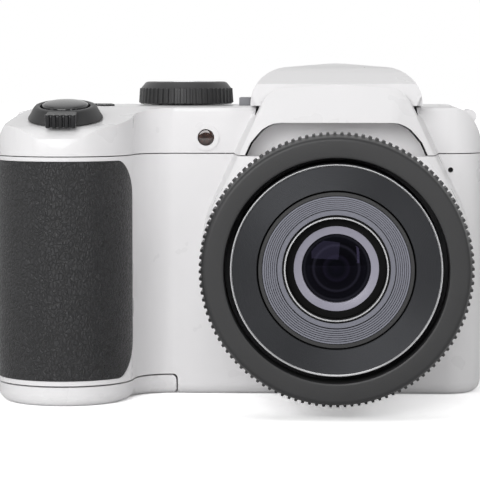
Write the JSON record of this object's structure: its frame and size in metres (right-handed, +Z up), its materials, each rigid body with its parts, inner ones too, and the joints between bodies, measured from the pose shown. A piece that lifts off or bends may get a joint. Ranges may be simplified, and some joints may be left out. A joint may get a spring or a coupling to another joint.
{
  "type": "bridge camera",
  "caption": "White bridge camera with a fixed zoom lens in a ribbed ring, pop-up flash, mode dial, rubber grip, rear screen and a battery door under the grip.",
  "frame": {"origin": "mouth of the tripod socket in the middle of the base", "axes": "+X to the right seen from the front, -Y to the front along the lens axis, +Z up"},
  "size_m": [0.1181, 0.0857, 0.0815],
  "materials": {
    "white_plastic": "satin gloss white moulding",
    "black_plastic": "fine satin black moulding",
    "dark_plastic": "matt dark grey moulding",
    "grip_rubber": "leather grained rubber",
    "lens_satin": "turned dark anodised",
    "baffle_grey": "grooved grey plastic",
    "retainer_grey": "grey paint",
    "coated_glass": "coated optical glass",
    "screen_glass": "dark screen glass",
    "lamp_amber": "amber lamp glass",
    "flash_clear": "clear ribbed plastic",
    "steel": "plain steel",
    "dial_silver": "spun silver",
    "button_grey": "grey moulding",
    "record_red": "red moulding",
    "board_green": "solder mask",
    "brass": "bare brass",
    "sensor_grey": "sensor cover glass",
    "cell_wrap": "printed sleeve without text",
    "capacitor_sleeve": "shrink sleeve"
  },
  "bodies": {
    "camera_body": {"front_cover": "white_plastic", "rear_cover": "white_plastic", "top_cover": "white_plastic", "grip_skin": "grip_rubber", "thumb_rest": "grip_rubber", "case_screws": "steel", "chassis": "dark_plastic", "tripod_socket": "steel", "strap_bars": "white_plastic", "battery_box": "dark_plastic", "battery_cells": "cell_wrap", "battery_contacts": "steel", "door_pin": "steel", "main_board": "board_green", "card_socket": "steel", "usb_socket": "steel", "lens_tube": "dark_plastic", "lens_ring": "black_plastic", "zoom_motor": "steel", "rear_lens": "coated_glass", "image_sensor": "sensor_grey", "screen_window": "screen_glass", "lcd_panel": "dark_plastic", "lamp_lens": "lamp_amber", "microphone": "dark_plastic", "flash_pin": "steel", "flash_spring": "steel", "flash_capacitor": "capacitor_sleeve", "dial_axle": "steel"},
    "cam": {"cam_ring": "dark_plastic"},
    "pinion": {"zoom_pinion": "brass"},
    "stage_1": {"outer_barrel": "lens_satin"},
    "stage_2": {"inner_barrel": "black_plastic", "baffle_ring": "baffle_grey", "lens_retainer": "retainer_grey", "front_lens": "coated_glass"},
    "flash_head": {"flash_cover": "white_plastic", "flash_frame": "dark_plastic", "flash_window": "flash_clear", "flash_tube": "flash_clear"},
    "door": {"battery_door": "white_plastic"},
    "latch": {"door_latch": "dark_plastic"},
    "flap": {"port_flap": "white_plastic"},
    "dial": {"mode_dial": "black_plastic", "dial_plate": "dial_silver"},
    "lever": {"zoom_lever": "black_plastic"},
    "shutter": {"shutter_button": "dark_plastic"},
    "power": {"power_button": "dark_plastic"},
    "drive": {"drive_button": "dark_plastic"},
    "flash_release": {"flash_button": "button_grey"},
    "record": {"record_button": "record_red"},
    "menu": {"menu_button": "dark_plastic"},
    "play": {"play_button": "dark_plastic"},
    "delete": {"delete_button": "dark_plastic"},
    "set": {"set_button": "dark_plastic"},
    "up": {"up_key": "dark_plastic"},
    "down": {"down_key": "dark_plastic"},
    "left": {"left_key": "dark_plastic"},
    "right": {"right_key": "dark_plastic"}
  },
  "joints": [
    {"name": "cam_turn", "type": "hinge", "parent": "camera_body", "child": "cam", "pos_m": [0, 0, 0.0344], "axis": [0, -1, 0], "range_deg": [0, 90]},
    {"name": "pinion_spin", "type": "hinge", "parent": "camera_body", "child": "pinion", "pos_m": [-0.03137, 0, 0.03993], "axis": [0, -1, 0], "range_deg": [-710, 5]},
    {"name": "zoom_out_1", "type": "slide", "parent": "camera_body", "child": "stage_1", "axis": [0, -1, 0], "range_m": [0, 0.018]},
    {"name": "zoom_out_2", "type": "slide", "parent": "stage_1", "child": "stage_2", "axis": [0, -1, 0], "range_m": [0, 0.015]},
    {"name": "flash_open", "type": "hinge", "parent": "camera_body", "child": "flash_head", "pos_m": [0, 0.0095, 0.0745], "axis": [-1, 0, 0], "range_deg": [0, 42]},
    {"name": "door_swing", "type": "hinge", "parent": "camera_body", "child": "door", "pos_m": [-0.0407, 0, 0.0016], "axis": [0, -1, 0], "range_deg": [0, 94]},
    {"name": "latch_slide", "type": "slide", "parent": "door", "child": "latch", "axis": [-1, 0, 0], "range_m": [0, 0.0015]},
    {"name": "flap_swing", "type": "hinge", "parent": "camera_body", "child": "flap", "pos_m": [0.0353, -0.0002, 0.0194], "axis": [0, 0, 1], "range_deg": [0, 100]},
    {"name": "mode_turn", "type": "hinge", "parent": "camera_body", "child": "dial", "pos_m": [-0.038, 0.002, 0.074], "axis": [0, 0, 1], "continuous": true},
    {"name": "zoom_turn", "type": "hinge", "parent": "camera_body", "child": "lever", "pos_m": [-0.065, -0.033, 0.06808], "axis": [0, -0.1908, 0.9816], "range_deg": [-18, 18], "stiffness_Nm_per_rad": 0.05},
    {"name": "shutter_press", "type": "slide", "parent": "camera_body", "child": "shutter", "axis": [0, 0.1908, -0.9816], "range_m": [0, 0.0012], "stiffness_N_per_m": 800},
    {"name": "power_press", "type": "slide", "parent": "camera_body", "child": "power", "axis": [0, 0, -1], "range_m": [0, 0.0005], "stiffness_N_per_m": 1200},
    {"name": "drive_press", "type": "slide", "parent": "camera_body", "child": "drive", "axis": [0, 0, -1], "range_m": [0, 0.0005], "stiffness_N_per_m": 1200},
    {"name": "flash_press", "type": "slide", "parent": "camera_body", "child": "flash_release", "axis": [0, 0, -1], "range_m": [0, 0.001], "stiffness_N_per_m": 1200},
    {"name": "record_press", "type": "slide", "parent": "camera_body", "child": "record", "axis": [0, -1, 0], "range_m": [0, 0.0005], "stiffness_N_per_m": 1200},
    {"name": "menu_press", "type": "slide", "parent": "camera_body", "child": "menu", "axis": [0, -1, 0], "range_m": [0, 0.0005], "stiffness_N_per_m": 1200},
    {"name": "play_press", "type": "slide", "parent": "camera_body", "child": "play", "axis": [0, -1, 0], "range_m": [0, 0.0005], "stiffness_N_per_m": 1200},
    {"name": "delete_press", "type": "slide", "parent": "camera_body", "child": "delete", "axis": [0, -1, 0], "range_m": [0, 0.0005], "stiffness_N_per_m": 1200},
    {"name": "set_press", "type": "slide", "parent": "camera_body", "child": "set", "axis": [0, -1, 0], "range_m": [0, 0.0005], "stiffness_N_per_m": 1200},
    {"name": "up_press", "type": "slide", "parent": "camera_body", "child": "up", "axis": [0, -1, 0], "range_m": [0, 0.0005], "stiffness_N_per_m": 1200},
    {"name": "down_press", "type": "slide", "parent": "camera_body", "child": "down", "axis": [0, -1, 0], "range_m": [0, 0.0005], "stiffness_N_per_m": 1200},
    {"name": "left_press", "type": "slide", "parent": "camera_body", "child": "left", "axis": [0, -1, 0], "range_m": [0, 0.0005], "stiffness_N_per_m": 1200},
    {"name": "right_press", "type": "slide", "parent": "camera_body", "child": "right", "axis": [0, -1, 0], "range_m": [0, 0.0005], "stiffness_N_per_m": 1200}
  ],
  "couplings": [
    {"joint": "pinion_spin", "follows": "cam_turn", "ratio": -7.8333},
    {"joint": "zoom_out_1", "follows": "cam_turn", "m_per_rad": 0.011459},
    {"joint": "zoom_out_2", "follows": "cam_turn", "m_per_rad": 0.009549}
  ]
}
